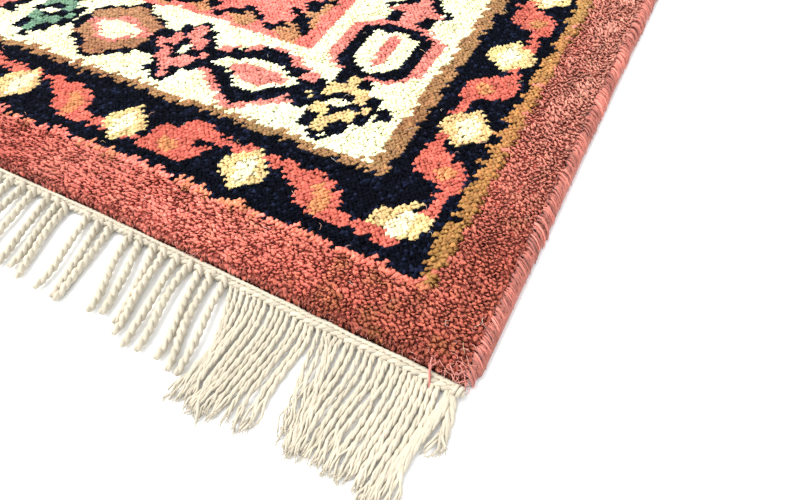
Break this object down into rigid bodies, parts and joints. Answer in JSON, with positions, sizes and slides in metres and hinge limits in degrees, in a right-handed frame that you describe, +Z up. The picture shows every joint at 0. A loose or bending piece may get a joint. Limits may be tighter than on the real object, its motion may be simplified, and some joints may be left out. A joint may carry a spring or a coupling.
{
  "type": "hand-knotted oriental rug",
  "caption": "Flat rectangular knotted wool rug with bordered traditional pattern, rounded pile rim, overcast sides and a braided, fringed cotton end at the front and the back.",
  "frame": {"origin": "on the floor under the middle of the rug", "axes": "+Y along the rug's length, +X across its width, +Z up out of the pile; the corner whose fringe hangs as loose strings is at +X, -Y"},
  "size_m": [0.7752, 1.3474, 0.011],
  "materials": {
    "wool_pile": "matt knotted wool pile in coral, navy, cream, yellow and tan",
    "wool_binding": "matt overcast wool yarn",
    "cotton_fringe": "matt undyed cotton cord"
  },
  "bodies": {
    "root": {"rug_body": "wool_pile", "selvedge_right": "wool_binding", "selvedge_left": "wool_binding", "fringe_front": "cotton_fringe", "fringe_back": "cotton_fringe"}
  },
  "joints": []
}
